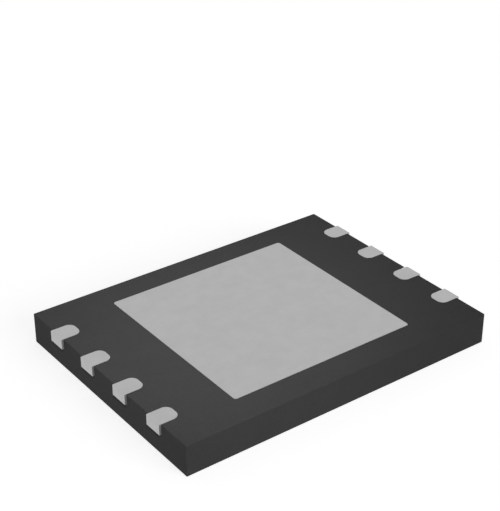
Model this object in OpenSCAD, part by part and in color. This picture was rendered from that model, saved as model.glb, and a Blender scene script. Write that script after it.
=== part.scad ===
// Flash memory chip in a leadless moulded package, 8 x 6 mm, in millimetres.
// It lies on its plain face, with the exposed pad and the eight solder lands facing up, along +Z.
// The origin is the middle of the plain face, and +X runs along the body's length.

/* [Moulded body] */
// Length of the body, between the two sides that carry leads
body_l = 8; // [7.6:0.1:9]
// Width of the body
body_w = 6; // [5.6:0.1:7]
// Height of the body, from its plain face to its terminal face
body_h = 0.74; // [0.7:0.01:1]

/* [Lead frame] */
// Thickness of the frame's metal, shared by the pad and the leads
frame_t = 0.25; // [0.2:0.01:0.3]
// Thickness left where the frame is etched from its solder side
etched_t = 0.13; // [0.08:0.01:0.16]
// How far the solder faces stand out of the terminal face
standoff = 0.01; // [0.005:0.005:0.05]

/* [Exposed pad] */
// Length of the pad's solder face
pad_l = 4.7; // [4.4:0.05:5]
// Width of the pad's solder face
pad_w = 4.65; // [4.2:0.05:5]
// Radius of the pad's corners
pad_corner_r = 0.06; // [0.03:0.01:0.2]
// Width of the etched rim that locks the pad in the moulding
rim_w = 0.15; // [0.1:0.01:0.2]

/* [Leads] */
// Distance from one lead to the next
lead_pitch = 1.27; // [1.1:0.01:1.4]
// Width of a solder land
land_w = 0.46; // [0.42:0.01:0.5]
// Length of a solder land, from the body's side to its rounded inner end
land_l = 0.47; // [0.4:0.01:0.6]
// Radius at the two corners of a land's inner end
land_end_r = 0.17; // [0.1:0.01:0.2]
// How far a lead's sawn end stands out of the body's side
lead_out = 0.05; // [0.01:0.01:0.08]
// Length of the etched tip that runs on inside the moulding and takes the wire
tip_l = 0.22; // [0.18:0.01:0.3]
// How far the etched wings reach past each flank of the land
wing_w = 0.07; // [0.03:0.01:0.1]
// Distance from the body's side to where the wings begin
wing_from = 0.16; // [0.1:0.01:0.25]

/* [Die] */
// Length of the die
die_l = 3.8; // [3.4:0.1:4.1]
// Width of the die
die_w = 3; // [2.8:0.1:3.8]
// Thickness of the die
die_t = 0.2; // [0.15:0.01:0.24]
// Thickness of the layer that bonds the die to the pad
attach_t = 0.025; // [0.015:0.005:0.04]
// How far that layer spreads past the die's edges
attach_edge = 0.1; // [0.02:0.01:0.15]

/* [Bond wires] */
// Diameter of the wire
wire_d = 0.025; // [0.018:0.001:0.03]
// Diameter of the ball squashed onto the die
ball_d = 0.066; // [0.05:0.002:0.08]
// Height of the squashed ball
ball_h = 0.016; // [0.01:0.001:0.02]
// Distance between wires on the die
bond_pitch = 0.62; // [0.4:0.01:0.75]
// Distance from the die's edge to the middle of the balls
bond_inset = 0.1; // [0.06:0.01:0.15]
// Height of a wire's loop above the die
loop_h = 0.12; // [0.1:0.01:0.15]
// Radius of the bend at the top of a loop
loop_r = 0.05; // [0.03:0.005:0.06]
// Length of the flattened stitch on a lead
stitch_l = 0.08; // [0.05:0.01:0.1]
// Distance from a lead's inner end to the middle of its stitch
stitch_inset = 0.1; // [0.08:0.01:0.14]

/* [Hidden] */
leads_per_side = 4;
lead_count = 2 * leads_per_side;
lead_numbers = [1:lead_count];
curve_fn = 64;

// Heights, from the plain face up
solder_z = body_h + standoff;
frame_z = solder_z - frame_t;
attach_z = frame_z - attach_t;
die_z = attach_z - die_t;
loop_z = die_z - loop_h;

// A wire has this many sides, rings in its bend and rings in its long span
wire_sides = 8;
bend_steps = 4;
span_steps = 6;

body_grey = [0.27, 0.27, 0.27];
tin = [0.7, 0.7, 0.7];
adhesive = [0.75, 0.73, 0.68];
silicon = [0.35, 0.37, 0.42];
gold = [0.9, 0.7, 0.3];

// Place of a lead or wire along its side: they count round the body, 1 to 4 on the -X side
function row_step(n) = (n - 1) % leads_per_side - (leads_per_side - 1) / 2;

// The second side is the first one turned half round
module on_its_side(n) {
    rotate(n > leads_per_side ? 180 : 0) children();
}

// Plate with four rounded corners, standing on the XY plane
module rounded_plate(l, w, r, t) {
    linear_extrude(t) {
        square([l - 2 * r, w], center = true);
        square([l, w - 2 * r], center = true);
        for (x = [-1, 1], y = [-1, 1])
            translate([x * (l / 2 - r), y * (w / 2 - r)]) circle(r, $fn = curve_fn);
    }
}

// Strip that starts square at the saw cut and ends in two rounded corners at x = reach
module strip(start, reach, w, r) {
    translate([start, -w / 2]) square([reach - r - start, w]);
    translate([start, r - w / 2]) square([reach - start, w - 2 * r]);
    for (side = [-1, 1])
        translate([reach - r, side * (w / 2 - r)]) circle(r, $fn = curve_fn);
}

// One lead, with x measured inwards from the body's side
module lead_metal() {
    linear_extrude(frame_t) strip(-lead_out, land_l, land_w, land_end_r);
    linear_extrude(etched_t) strip(wing_from, land_l + tip_l, land_w + 2 * wing_w, land_end_r);
}

module lead(n) {
    color(tin)
        on_its_side(n)
            translate([-body_l / 2, row_step(n) * lead_pitch, frame_z]) lead_metal();
}

// Die paddle: its full thickness is the solder face, and the etched rim is wider
module exposed_pad() {
    color(tin)
        translate([0, 0, frame_z]) {
            rounded_plate(pad_l, pad_w, pad_corner_r, frame_t);
            rounded_plate(pad_l + 2 * rim_w, pad_w + 2 * rim_w, pad_corner_r + rim_w, etched_t);
        }
}

module die_attach() {
    color(adhesive)
        translate([0, 0, attach_z])
            rounded_plate(die_l + 2 * attach_edge, die_w + 2 * attach_edge, attach_edge, attach_t);
}

module flash_die() {
    color(silicon)
        translate([-die_l / 2, -die_w / 2, die_z]) cube([die_l, die_w, die_t]);
}

// Where wire n leaves the die and where it lands on its lead, seen from above
function ball_xy(n) = [bond_inset - die_l / 2, row_step(n) * bond_pitch];
function stitch_xy(n) = [land_l + tip_l - stitch_inset - body_l / 2, row_step(n) * lead_pitch];

// A wire's rings, each [distance along, height, heading, half size along, half size across].
// The heading is 0 straight out of the die, 90 along the span and 180 into the lead.
function ball_rings() = [
    [0, die_z, 0, ball_d / 2, ball_d / 2],
    [0, die_z - ball_h, 0, ball_d / 2, ball_d / 2],
    [0, die_z - ball_h - wire_d / 2, 0, wire_d / 2, wire_d / 2]
];

function bend_rings() = [for (i = [0:bend_steps])
    let (turn = 90 * i / bend_steps)
    [loop_r * (1 - cos(turn)), loop_z + loop_r * (1 - sin(turn)), turn, wire_d / 2, wire_d / 2]
];

// The span falls towards the lead as a parabola and stops one stitch short of it
function span_rings(length) =
    let (run = length - loop_r, fall = frame_z - loop_z, last = 1 - stitch_l / run)
    [for (i = [1:span_steps])
        let (u = last * i / span_steps)
        [loop_r + run * u, loop_z + fall * u * u, 90 + atan(2 * fall * u / run), wire_d / 2, wire_d / 2]
    ];

function stitch_ring(length) = [[length, frame_z, 180, stitch_l / 2, wire_d]];

function wire_rings(length) = concat(ball_rings(), bend_rings(), span_rings(length), stitch_ring(length));

// Points round one ring, in the upright plane that holds the wire
function ring_points(start, along, ring) = [for (k = [0:wire_sides - 1])
    let (
        turn = 360 * k / wire_sides,
        reach = ring[3] * cos(turn),
        across = ring[4] * sin(turn) * [-along.y, along.x],
        xy = start + (ring[0] + reach * cos(ring[2])) * along + across
    )
    [xy.x, xy.y, ring[1] + reach * sin(ring[2])]
];

// Two triangles between side k of ring i and the same side of the ring after it
function side_faces(i, k) =
    let (
        a = i * wire_sides + k,
        b = i * wire_sides + (k + 1) % wire_sides,
        c = a + wire_sides,
        d = b + wire_sides
    )
    [[a, b, d], [a, d, c]];

module wire_metal(start, end) {
    length = norm(end - start);
    along = (end - start) / length;
    rings = wire_rings(length);
    last = len(rings) - 1;
    polyhedron(
        points = [for (ring = rings) each ring_points(start, along, ring)],
        faces = concat(
            [[for (k = [wire_sides - 1:-1:0]) k]],
            [for (i = [0:last - 1], k = [0:wire_sides - 1]) each side_faces(i, k)],
            [[for (k = [0:wire_sides - 1]) last * wire_sides + k]]
        )
    );
}

module bond_wire(n) {
    color(gold)
        on_its_side(n) wire_metal(ball_xy(n), stitch_xy(n));
}

// The compound fills the block and takes the form of everything cast into it
module mold_body() {
    color(body_grey)
        difference() {
            translate([-body_l / 2, -body_w / 2, 0]) cube([body_l, body_w, body_h]);
            exposed_pad();
            die_attach();
            flash_die();
            for (n = lead_numbers) {
                lead(n);
                bond_wire(n);
            }
        }
}

mold_body();
exposed_pad();
lead(1);  // lead_1
lead(2);  // lead_2
lead(3);  // lead_3
lead(4);  // lead_4
lead(5);  // lead_5
lead(6);  // lead_6
lead(7);  // lead_7
lead(8);  // lead_8
die_attach();
flash_die();
bond_wire(1);  // bond_wire_1
bond_wire(2);  // bond_wire_2
bond_wire(3);  // bond_wire_3
bond_wire(4);  // bond_wire_4
bond_wire(5);  // bond_wire_5
bond_wire(6);  // bond_wire_6
bond_wire(7);  // bond_wire_7
bond_wire(8);  // bond_wire_8
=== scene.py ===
import math

import bpy
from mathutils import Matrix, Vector


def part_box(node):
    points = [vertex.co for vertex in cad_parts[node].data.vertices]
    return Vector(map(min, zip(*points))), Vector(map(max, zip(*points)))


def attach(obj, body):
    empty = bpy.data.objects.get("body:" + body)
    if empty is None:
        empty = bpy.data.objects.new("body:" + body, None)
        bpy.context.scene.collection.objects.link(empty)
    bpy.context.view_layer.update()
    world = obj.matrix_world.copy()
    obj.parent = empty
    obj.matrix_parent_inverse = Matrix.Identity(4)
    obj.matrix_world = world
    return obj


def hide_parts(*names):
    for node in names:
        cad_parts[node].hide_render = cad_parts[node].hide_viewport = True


# A leadless flash memory chip that lies on its plain moulded face, with its terminals up
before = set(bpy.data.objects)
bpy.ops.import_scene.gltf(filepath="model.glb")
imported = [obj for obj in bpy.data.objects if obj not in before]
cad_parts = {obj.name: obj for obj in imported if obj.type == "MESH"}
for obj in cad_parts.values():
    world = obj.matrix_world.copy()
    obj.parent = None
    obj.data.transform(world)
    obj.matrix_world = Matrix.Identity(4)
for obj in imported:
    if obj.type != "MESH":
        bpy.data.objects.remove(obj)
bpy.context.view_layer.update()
scene = bpy.context.scene
scene.view_settings.view_transform = "Standard"

mm = 0.001  # new pieces are modelled in millimetres and made metres when they are finished
print("frame loaded:", len(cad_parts), "nodes")


# Camera, in millimetres, at the photograph's place above the near corner
view = {
    "lens": 95.04,
    "sensor": 36,
    "place": (-15.32, -20.29, 16.51),
    "aim": (1.806, 2.76, 0.37),
    "roll": -0.09,  # degrees
    "clip": (1, 10000),
}


def setCamera():
    data = bpy.data.cameras.new("camera")
    data.lens = view["lens"]
    data.sensor_width = view["sensor"]
    data.clip_start, data.clip_end = (distance * mm for distance in view["clip"])
    camera = bpy.data.objects.new("camera", data)
    scene.collection.objects.link(camera)
    camera.location = Vector(view["place"]) * mm
    look = Vector(view["aim"]) * mm - camera.location
    camera.rotation_euler = look.to_track_quat("-Z", "Y").to_euler()
    camera.rotation_euler.rotate_axis("Z", math.radians(view["roll"]))
    scene.camera = camera


setCamera()
print("camera set")


# Node helpers
def maths(tree, operation, first, second):
    node = tree.nodes.new("ShaderNodeMath")
    node.operation = operation
    for socket, value in zip(node.inputs, (first, second)):
        if isinstance(value, (int, float)):
            socket.default_value = value
        else:
            tree.links.new(value, socket)
    return node.outputs[0]


def add(tree, first, second):
    return maths(tree, "ADD", first, second)


def times(tree, first, second):
    return maths(tree, "MULTIPLY", first, second)


def weighed(tree, first, second, share):  # first counts for its share and second for the rest
    return add(tree, times(tree, first, share), times(tree, second, 1 - share))


def stretch(tree, value, span, result):  # carries a value in the span over to the result's two ends
    reach = tree.nodes.new("ShaderNodeMapRange")
    ends = ("From Min", "From Max", "To Min", "To Max")
    for name, number in zip(ends, (*span, *result)):
        reach.inputs[name].default_value = number
    tree.links.new(value, reach.inputs["Value"])
    return reach.outputs["Result"]


def blendColour(tree, share, first, second):  # a colour is three numbers or a socket
    mix = tree.nodes.new("ShaderNodeMix")
    mix.data_type = "RGBA"
    tree.links.new(share, mix.inputs["Factor"])
    for socket, value in ((mix.inputs["A"], first), (mix.inputs["B"], second)):
        if isinstance(value, tuple):
            socket.default_value = (*value, 1)
        else:
            tree.links.new(value, socket)
    return mix.outputs["Result"]


def seenDirectly(tree):  # 1 for rays from the camera and for what shiny surfaces mirror
    path = tree.nodes.new("ShaderNodeLightPath").outputs
    mirrored = maths(tree, "MAXIMUM", path["Is Glossy Ray"], path["Is Transmission Ray"])
    return maths(tree, "MAXIMUM", path["Is Camera Ray"], mirrored)


# Studio: an even white surround, which the metal mirrors, a gridded softbox whose pool of light on
# the moulding fades towards the chip's ends, a low fill for the near long side, and two lamps for
# the faces that the camera doesn't see. The softbox and the fill are kept off the metal, where they
# would glare in some views.
studio = {
    "surround": 0.2,  # how strongly the white surround lights matt surfaces
    "boxAim": (-1.6, 0, 0.4),  # millimetres
    "boxAzimuth": 231,  # degrees from +X towards +Y
    "boxHeight": 57,  # degrees above the floor
    "boxDistance": 60,  # millimetres
    "boxSize": 6.5,  # millimetres
    "boxSpread": 13.3,  # degrees
    "boxPower": 0.000242,  # watts
    "suns": {  # azimuth, height and width in degrees, then the level, at which 1 shows a colour as written
        "fill": (285, 12, 50, 0.41),
        "backFill": (50, -5, 6, 0.8),  # just under the floor's line, so it reaches the far sides alone
        "underFill": (0, -90, 10, 1.1),  # reaches the plain face alone
    },
    "sunDistance": 100,  # millimetres
    "floorSize": 4,  # metres
    "floorGap": 0.002,  # millimetres, which keeps the floor off the plain face that lies on it
    "floorGrey": 0.8,
    "floorLift": 0.78,  # what the camera sees on top of the lit floor, so that it reads as white
}


def towards(azimuth, height):
    turn, rise = math.radians(azimuth), math.radians(height)
    return Vector((math.cos(turn) * math.cos(rise), math.sin(turn) * math.cos(rise), math.sin(rise)))


def setSurround():
    world = bpy.data.worlds.new("whiteStudio")
    scene.world = world
    world.use_nodes = True
    tree = world.node_tree
    background = tree.nodes["Background"]
    background.inputs["Color"].default_value = (1, 1, 1, 1)
    strength = stretch(tree, seenDirectly(tree), (0, 1), (studio["surround"], 1))
    tree.links.new(strength, background.inputs["Strength"])


def addLamp(name, kind, place, direction):
    data = bpy.data.lights.new(name, kind)
    lamp = bpy.data.objects.new(name, data)
    scene.collection.objects.link(lamp)
    lamp.location = place * mm
    lamp.rotation_euler = direction.to_track_quat("Z", "Y").to_euler()
    lamp.visible_camera = False
    return lamp


def setSoftbox(mouldOnly):
    direction = towards(studio["boxAzimuth"], studio["boxHeight"])
    place = Vector(studio["boxAim"]) + direction * studio["boxDistance"]
    lamp = addLamp("softbox", "AREA", place, direction)
    lamp.data.shape = "DISK"
    lamp.data.size = studio["boxSize"] * mm
    lamp.data.spread = math.radians(studio["boxSpread"])
    lamp.data.energy = studio["boxPower"]
    lamp.light_linking.receiver_collection = mouldOnly


def setSuns(mattOnly, chipOnly):
    for name, (azimuth, height, width, level) in studio["suns"].items():
        direction = towards(azimuth, height)
        lamp = addLamp(name, "SUN", direction * studio["sunDistance"], direction)
        lamp.data.angle = math.radians(width)
        lamp.data.energy = level * math.pi
        lamp.light_linking.receiver_collection = mattOnly if height > 0 else chipOnly
        if height < 0:  # the floor doesn't stop this light
            lamp.light_linking.blocker_collection = chipOnly


def setFloor():
    bpy.ops.object.select_all(action="DESELECT")
    bpy.ops.mesh.primitive_plane_add(size=studio["floorSize"], location=(0, 0, -studio["floorGap"] * mm))
    floor = bpy.context.object
    floor.name = "floor"
    material = bpy.data.materials.new("paleFloor")
    material.use_nodes = True
    tree = material.node_tree
    nodes, links = tree.nodes, tree.links
    nodes.clear()
    paper = nodes.new("ShaderNodeBsdfDiffuse")
    paper.inputs["Color"].default_value = (*[studio["floorGrey"]] * 3, 1)
    glow = nodes.new("ShaderNodeEmission")
    links.new(times(tree, seenDirectly(tree), studio["floorLift"]), glow.inputs["Strength"])
    top = nodes.new("ShaderNodeAddShader")
    links.new(paper.outputs[0], top.inputs[0])
    links.new(glow.outputs[0], top.inputs[1])
    clear = nodes.new("ShaderNodeBsdfTransparent")  # from below, the floor is out of the way
    oneSided = nodes.new("ShaderNodeMixShader")
    links.new(nodes.new("ShaderNodeNewGeometry").outputs["Backfacing"], oneSided.inputs[0])
    links.new(top.outputs[0], oneSided.inputs[1])
    links.new(clear.outputs[0], oneSided.inputs[2])
    links.new(oneSided.outputs[0], nodes.new("ShaderNodeOutputMaterial").inputs["Surface"])
    floor.data.materials.append(material)
    return floor


mouldOnly = bpy.data.collections.new("mouldOnly")  # for the softbox
mattOnly = bpy.data.collections.new("mattOnly")  # the moulding and the floor, for the fill
chipOnly = bpy.data.collections.new("chipOnly")  # every piece, for the two lamps below the floor's line
setSurround()
setSoftbox(mouldOnly)
setSuns(mattOnly, chipOnly)
mattOnly.objects.link(setFloor())
print("studio set")


# Finishes. Every pattern reads Object coordinates, and its scale counts cycles in a metre.
noiseSpan = (0.3, 0.7)  # where nearly all of a noise's values lie
dotCore = 1 / 3  # of a dot's radius, within which it is full
facingLeast = 0.7  # how nearly a surface's normal follows an axis to count as facing along it


def newFinish(name):
    material = bpy.data.materials.new(name)
    material.use_nodes = True
    tree = material.node_tree
    place = tree.nodes.new("ShaderNodeTexCoord").outputs["Object"]
    return material, tree, tree.nodes["Principled BSDF"], place


def noise(tree, place, scale, detail=2):  # a scale of three numbers makes streaks
    texture = tree.nodes.new("ShaderNodeTexNoise")
    texture.inputs["Detail"].default_value = detail
    if isinstance(scale, tuple):
        squeeze = tree.nodes.new("ShaderNodeMapping")
        squeeze.inputs["Scale"].default_value = scale
        tree.links.new(place, squeeze.inputs["Vector"])
        place = squeeze.outputs["Vector"]
        scale = 1
    texture.inputs["Scale"].default_value = scale
    tree.links.new(place, texture.inputs["Vector"])
    return texture.outputs["Fac"]


def dots(tree, place, scale, radius):  # 1 in the middle of each dot, 0 between them
    cells = tree.nodes.new("ShaderNodeTexVoronoi")
    cells.inputs["Scale"].default_value = scale
    tree.links.new(place, cells.inputs["Vector"])
    return stretch(tree, cells.outputs["Distance"], (radius * dotCore, radius), (1, 0))


def normalAlong(tree, axis):
    split = tree.nodes.new("ShaderNodeSeparateXYZ")
    tree.links.new(tree.nodes.new("ShaderNodeTexCoord").outputs["Normal"], split.inputs[0])
    return split.outputs[axis]


def facing(tree, axis):  # 1 on surfaces that face along the axis, either way
    return maths(tree, "GREATER_THAN", maths(tree, "ABSOLUTE", normalAlong(tree, axis), 0), facingLeast)


def bumpBy(tree, shader, height, distance, strength):
    bump = tree.nodes.new("ShaderNodeBump")
    bump.inputs["Strength"].default_value = strength
    bump.inputs["Distance"].default_value = distance
    tree.links.new(height, bump.inputs["Height"])
    tree.links.new(bump.outputs["Normal"], shader.inputs["Normal"])


compound = {
    "dark": (0.0395, 0.0395, 0.0399),
    "pale": (0.0485, 0.0485, 0.0489),
    "grain": 17000,
    "grainDetail": 3,
    "cloud": 1400,
    "grainShare": 0.7,
    "silica": (0.066, 0.066, 0.066),
    "silicaGrain": 13000,
    "silicaRadius": 0.2,  # of the distance between grains
    "silicaShare": 0.5,
    "sawLines": (260, 260, 21000),
    "bump": 0.000005,
    "bumpStrength": 0.7,
    "roughness": (0.54, 0.64),
    "sawnRoughness": 0.08,  # on top of the moulded faces' own
    "specular": 0.06,
}


def makeCompound():
    material, tree, shader, place = newFinish("mouldingCompound")
    grain = noise(tree, place, compound["grain"], compound["grainDetail"])
    cloud = noise(tree, place, compound["cloud"])
    tone = stretch(tree, weighed(tree, grain, cloud, compound["grainShare"]), noiseSpan, (0, 1))
    resin = blendColour(tree, tone, compound["dark"], compound["pale"])
    silica = dots(tree, place, compound["silicaGrain"], compound["silicaRadius"])
    colour = blendColour(tree, times(tree, silica, compound["silicaShare"]), resin, compound["silica"])
    tree.links.new(colour, shader.inputs["Base Color"])
    sawn = maths(tree, "SUBTRACT", 1, facing(tree, "Z"))  # the four sides are saw cuts
    lines = times(tree, noise(tree, place, compound["sawLines"], compound["grainDetail"]), sawn)
    bumpBy(tree, shader, add(tree, grain, lines), compound["bump"], compound["bumpStrength"])
    rough = stretch(tree, grain, noiseSpan, compound["roughness"])
    rough = add(tree, rough, times(tree, sawn, compound["sawnRoughness"]))
    tree.links.new(rough, shader.inputs["Roughness"])
    shader.inputs["Specular IOR Level"].default_value = compound["specular"]
    return material


tin = {
    "dull": (0.49, 0.49, 0.492),
    "bright": (0.518, 0.518, 0.52),
    "metallic": 0.92,
    "grain": 21000,
    "grainDetail": 3,
    "grainShare": 0.5,
    "cloud": 3200,
    "cloudShare": 0.5,
    "rolled": (900, 14000, 900),  # faint lines along the frame's length
    "sawn": (0.545, 0.545, 0.547),
    "sawnShare": 0.5,
    "sawLines": (900, 900, 30000),
    "bump": 0.000003,
    "bumpStrength": 0.6,
    "rolledBump": 0.5,  # against the grain's
    "roughness": (0.5, 0.62),
}


def makeTin():
    material, tree, shader, place = newFinish("matteTin")
    grain = noise(tree, place, tin["grain"], tin["grainDetail"])
    cloud = noise(tree, place, tin["cloud"], tin["grainDetail"])
    rolled = noise(tree, place, tin["rolled"])
    streaks = weighed(tree, cloud, rolled, tin["cloudShare"])
    tone = stretch(tree, weighed(tree, grain, streaks, tin["grainShare"]), noiseSpan, (0, 1))
    plated = blendColour(tree, tone, tin["dull"], tin["bright"])
    sawn = facing(tree, "X")
    colour = blendColour(tree, times(tree, sawn, tin["sawnShare"]), plated, tin["sawn"])
    tree.links.new(colour, shader.inputs["Base Color"])
    lines = times(tree, noise(tree, place, tin["sawLines"]), sawn)
    height = add(tree, grain, add(tree, times(tree, rolled, tin["rolledBump"]), lines))
    bumpBy(tree, shader, height, tin["bump"], tin["bumpStrength"])
    tree.links.new(stretch(tree, cloud, noiseSpan, tin["roughness"]), shader.inputs["Roughness"])
    shader.inputs["Metallic"].default_value = tin["metallic"]
    return material


wireGold = {
    "deep": (0.7, 0.42, 0.11),
    "pale": (0.79, 0.5, 0.15),
    "drawn": 60000,
    "roughness": (0.22, 0.32),
    "metallic": 1,
}


def makeGold():
    material, tree, shader, place = newFinish("wireGold")
    drawn = noise(tree, place, wireGold["drawn"])
    colour = blendColour(tree, stretch(tree, drawn, noiseSpan, (0, 1)), wireGold["deep"], wireGold["pale"])
    tree.links.new(colour, shader.inputs["Base Color"])
    tree.links.new(stretch(tree, drawn, noiseSpan, wireGold["roughness"]), shader.inputs["Roughness"])
    shader.inputs["Metallic"].default_value = wireGold["metallic"]
    return material


silicon = {
    "array": (0.13, 0.15, 0.2),
    "arrayShade": (0.104, 0.12, 0.16),
    "streets": (0.32, 0.27, 0.2),
    "streetWidth": 0.03,  # of a block
    "blocks": 2600,
    "groundDark": (0.2, 0.21, 0.225),
    "groundPale": (0.26, 0.27, 0.28),
    "grinding": (40000, 500, 500),
    "roughness": (0.16, 0.3),
    "metallic": 0.4,
}


def makeSilicon():  # memory blocks on the face that the wires leave, ground silicon elsewhere
    material, tree, shader, place = newFinish("silicon")
    blocks = tree.nodes.new("ShaderNodeTexBrick")
    blocks.inputs["Scale"].default_value = silicon["blocks"]
    blocks.inputs["Mortar Size"].default_value = silicon["streetWidth"]
    colours = ("array", "arrayShade", "streets")
    for socket, name in zip(("Color1", "Color2", "Mortar"), colours):
        blocks.inputs[socket].default_value = (*silicon[name], 1)
    blocks.offset = 0
    tree.links.new(place, blocks.inputs["Vector"])
    lines = noise(tree, place, silicon["grinding"])
    tone = stretch(tree, lines, noiseSpan, (0, 1))
    ground = blendColour(tree, tone, silicon["groundDark"], silicon["groundPale"])
    active = maths(tree, "LESS_THAN", normalAlong(tree, "Z"), -facingLeast)
    colour = blendColour(tree, active, ground, blocks.outputs["Color"])
    tree.links.new(colour, shader.inputs["Base Color"])
    tree.links.new(stretch(tree, lines, noiseSpan, silicon["roughness"]), shader.inputs["Roughness"])
    shader.inputs["Metallic"].default_value = silicon["metallic"]
    return material


adhesive = {
    "resin": (0.5, 0.47, 0.41),
    "flake": (0.66, 0.65, 0.62),
    "flakes": 45000,
    "flakeRadius": 0.6,  # of the distance between flakes
    "roughness": (0.65, 0.4),
    "metallic": 0.25,
}


def makeAdhesive():
    material, tree, shader, place = newFinish("dieAdhesive")
    flakes = dots(tree, place, adhesive["flakes"], adhesive["flakeRadius"])
    colour = blendColour(tree, flakes, adhesive["resin"], adhesive["flake"])
    tree.links.new(colour, shader.inputs["Base Color"])
    tree.links.new(stretch(tree, flakes, (0, 1), adhesive["roughness"]), shader.inputs["Roughness"])
    shader.inputs["Metallic"].default_value = adhesive["metallic"]
    return material


compoundFinish = makeCompound()
tinFinish = makeTin()
goldFinish = makeGold()
siliconFinish = makeSilicon()
adhesiveFinish = makeAdhesive()
print("finishes made")


# Modelling helpers, in millimetres
closeEnough = 0.0005  # two measures that differ by less are the same
mergeWithin = 0.00001
smoothBelow = math.radians(40)  # sharper edges stay sharp


def pick(piece):
    bpy.ops.object.select_all(action="DESELECT")
    piece.select_set(True)
    bpy.context.view_layer.objects.active = piece


def applyPlace(piece):
    pick(piece)
    bpy.ops.object.transform_apply(location=True, rotation=True, scale=True)


def addBlock(name, low, high):  # between two corners
    bpy.ops.object.select_all(action="DESELECT")
    low, high = Vector(low), Vector(high)
    bpy.ops.mesh.primitive_cube_add(size=1, location=(low + high) / 2)
    piece = bpy.context.object
    piece.name = name
    piece.scale = high - low
    applyPlace(piece)
    return piece


def startSelection(piece, kind):
    pick(piece)
    bpy.ops.object.mode_set(mode="EDIT")
    bpy.ops.mesh.select_mode(type=kind)
    bpy.ops.mesh.select_all(action="DESELECT")
    bpy.ops.object.mode_set(mode="OBJECT")


def bevelEdges(piece, width, steps, wanted):  # wanted is asked about the two ends of each edge
    startSelection(piece, "EDGE")
    corners = piece.data.vertices
    for edge in piece.data.edges:
        first, second = (corners[i].co for i in edge.vertices)
        edge.select = wanted(first, second)
    bpy.ops.object.mode_set(mode="EDIT")
    bpy.ops.mesh.bevel(offset=width, segments=steps, affect="EDGES", clamp_overlap=True)
    bpy.ops.object.mode_set(mode="OBJECT")


def selectTop(piece):  # leaves the piece in edit mode with its upper face selected
    startSelection(piece, "FACE")
    for face in piece.data.polygons:
        face.select = face.normal.z > facingLeast
    bpy.ops.object.mode_set(mode="EDIT")


def combine(piece, other, operation):
    pick(piece)
    step = piece.modifiers.new("combine", "BOOLEAN")
    step.operation = operation
    step.solver = "EXACT"
    step.object = other
    bpy.ops.object.modifier_apply(modifier=step.name)


def remove(piece):
    pick(piece)
    bpy.ops.object.delete()


def copyOf(piece, name):
    copy = piece.copy()
    copy.data = piece.data.copy()
    copy.name = name
    scene.collection.objects.link(copy)
    return copy


def same(a, b):
    return abs(a - b) < closeEnough


def upright(first, second):
    return same(first.x, second.x) and same(first.y, second.y)


def boxOf(node):
    low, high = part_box(node)
    return low / mm, high / mm


def finishPiece(piece, finish, node):
    pick(piece)
    bpy.ops.object.shade_smooth_by_angle(angle=smoothBelow)
    even = piece.modifiers.new("evenNormals", "WEIGHTED_NORMAL")  # flat up to the eased edges
    even.keep_sharp = True
    bpy.ops.object.modifier_apply(modifier=even.name)
    piece.scale = (mm, mm, mm)
    applyPlace(piece)
    piece.data.materials.clear()
    piece.data.materials.append(finish)
    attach(piece, "root")
    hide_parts(node)
    chipOnly.objects.link(piece)


# Exposed pad: a plate the size of the etched rim, whose top is inset and pulled up to the solder face
pad = {
    "rim": 0.15,  # how far the etched rim reaches past the solder face
    "etched": 0.13,  # thickness left where the metal is etched
    "cornerRadius": 0.06,
    "cornerSteps": 8,
    "edge": 0.007,
    "edgeSteps": 2,
}


def makePad():
    low, high = boxOf("exposed_pad")
    rimTop = low.z + pad["etched"]
    piece = addBlock("pad", low, (high.x, high.y, rimTop))
    bevelEdges(piece, pad["cornerRadius"] + pad["rim"], pad["cornerSteps"], upright)
    selectTop(piece)
    bpy.ops.mesh.inset(thickness=pad["rim"])
    bpy.ops.mesh.extrude_region_move(TRANSFORM_OT_translate={"value": (0, 0, high.z - rimTop)})
    bpy.ops.object.mode_set(mode="OBJECT")
    bevelEdges(piece, pad["edge"], pad["edgeSteps"], lambda a, b: same(a.z, high.z) and same(b.z, high.z))
    return piece


# Leads: a land with a rounded inner end, joined to the etched tip that takes the wire
lead = {
    "out": 0.05,  # the sawn end stands this far out of the side
    "landWidth": 0.46,
    "landLength": 0.47,
    "endRadius": 0.17,
    "endSteps": 12,
    "wingsFrom": 0.16,  # the etched wings start this far in from the side
    "etched": 0.13,
    "edge": 0.006,
    "edgeSteps": 2,
}


def makeLead():  # lead 1, which the others are copied from
    low, high = boxOf("lead_1")
    side = low.x + lead["out"]
    landEnd = side + lead["landLength"]
    middle, half = (low.y + high.y) / 2, lead["landWidth"] / 2
    radius, steps = lead["endRadius"], lead["endSteps"]
    land = addBlock("lead1", (low.x, middle - half, low.z), (landEnd, middle + half, high.z))
    bevelEdges(land, radius, steps, lambda a, b: upright(a, b) and same(a.x, landEnd))
    tipStart = (side + lead["wingsFrom"], low.y, low.z)
    tip = addBlock("tip", tipStart, (high.x, high.y, low.z + lead["etched"]))
    bevelEdges(tip, radius, steps, lambda a, b: upright(a, b) and same(a.x, high.x))
    combine(land, tip, "UNION")
    remove(tip)

    def bare(a, b):  # round the solder face and round the sawn end
        return (same(a.z, high.z) and same(b.z, high.z)) or (same(a.x, low.x) and same(b.x, low.x))

    bevelEdges(land, lead["edge"], lead["edgeSteps"], bare)
    return land


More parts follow.
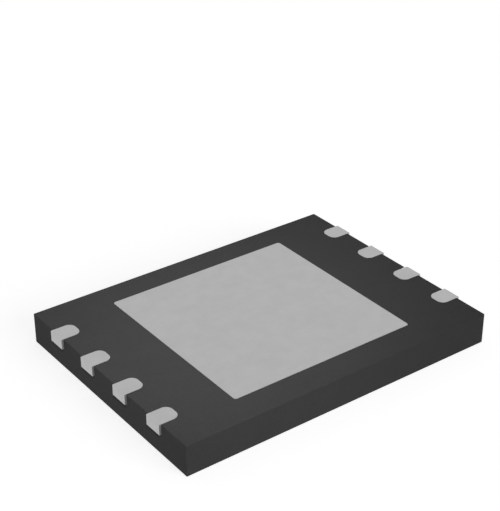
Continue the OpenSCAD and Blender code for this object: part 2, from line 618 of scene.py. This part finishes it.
def copyLead(first, number):
    copy = copyOf(first, f"lead{number}")
    here, there = (sum(boxOf(f"lead_{n}"), Vector()) / 2 for n in (1, number))
    turned = there.x > 0  # the leads of the other side are turned half round
    copy.rotation_euler.z = math.pi if turned else 0
    copy.location.y = there.y + here.y if turned else there.y - here.y
    applyPlace(copy)
    return copy


# Moulded body: a block with slightly eased edges, which takes the form of all that is cast into it
mould = {"edge": 0.016, "edgeSteps": 3}
sealed = ["die_attach", "flash_die"] + [f"bond_wire_{number}" for number in range(1, 9)]


def cutterFrom(name):  # a merged copy of a sealed piece, in millimetres
    cutter = copyOf(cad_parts[name], f"cut_{name}")
    cutter.parent = None
    cutter.scale = (1 / mm, 1 / mm, 1 / mm)
    applyPlace(cutter)
    bpy.ops.object.mode_set(mode="EDIT")
    bpy.ops.mesh.select_all(action="SELECT")
    bpy.ops.mesh.remove_doubles(threshold=mergeWithin)
    bpy.ops.object.mode_set(mode="OBJECT")
    return cutter


def makeMould(metalPieces):
    block = addBlock("mouldedBody", *boxOf("mold_body"))
    bevelEdges(block, mould["edge"], mould["edgeSteps"], lambda a, b: True)
    for piece in metalPieces:
        combine(block, piece, "DIFFERENCE")
    for name in sealed:
        cutter = cutterFrom(name)
        combine(block, cutter, "DIFFERENCE")
        remove(cutter)
    return block


padPiece = makePad()
leadPieces = [makeLead()]
leadPieces += [copyLead(leadPieces[0], number) for number in range(2, 9)]
print("pad and leads shaped")

mouldPiece = makeMould([padPiece, *leadPieces])
print("body cut:", len(mouldPiece.data.polygons), "faces")

finishPiece(padPiece, tinFinish, "exposed_pad")
for number, piece in enumerate(leadPieces, 1):
    finishPiece(piece, tinFinish, f"lead_{number}")
finishPiece(mouldPiece, compoundFinish, "mold_body")
mouldOnly.objects.link(mouldPiece)
mattOnly.objects.link(mouldPiece)

sealedFinishes = {"die_attach": adhesiveFinish, "flash_die": siliconFinish}
for name in sealed:
    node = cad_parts[name]
    node.material_slots[0].material = sealedFinishes.get(name, goldFinish)
    chipOnly.objects.link(node)
print("pieces finished")
